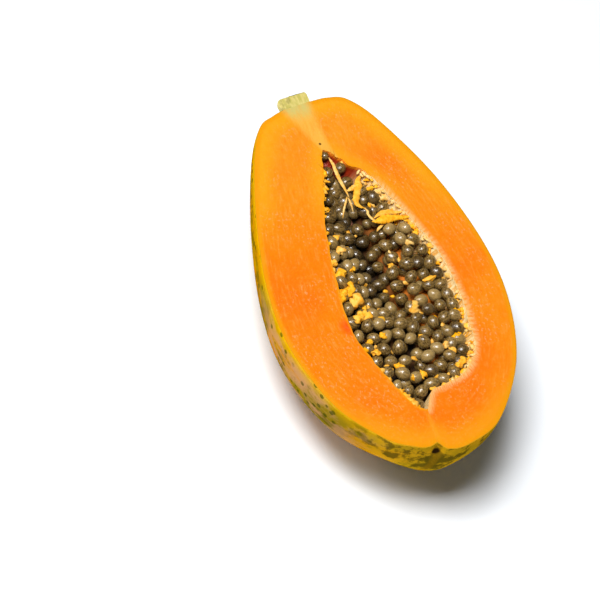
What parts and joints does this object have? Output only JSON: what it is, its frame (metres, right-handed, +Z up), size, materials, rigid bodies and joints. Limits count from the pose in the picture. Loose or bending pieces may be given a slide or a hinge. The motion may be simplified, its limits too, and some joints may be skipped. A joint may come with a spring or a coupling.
{
  "type": "papaya half",
  "caption": "Half of a ripe papaya, cut lengthwise, lying on its rounded back with the flesh, the seed cavity and its crop of dark seeds facing up.",
  "frame": {"origin": "on the surface that the half lies on, under the middle of its outer box", "axes": "+Z up, square to the cut face; +Y lengthwise towards the stem; +X across the fruit"},
  "size_m": [0.1076, 0.1812, 0.0524],
  "materials": {
    "ripe_flesh_and_skin": "moist orange flesh under a thin smooth yellow skin",
    "stem_green": "dull pale green, fibrous",
    "seed_coat": "dark olive seeds in a clear wet gel coat"
  },
  "bodies": {
    "root": {"fruit_half": "ripe_flesh_and_skin", "stem_stub": "stem_green", "seeds": "seed_coat"}
  },
  "joints": []
}
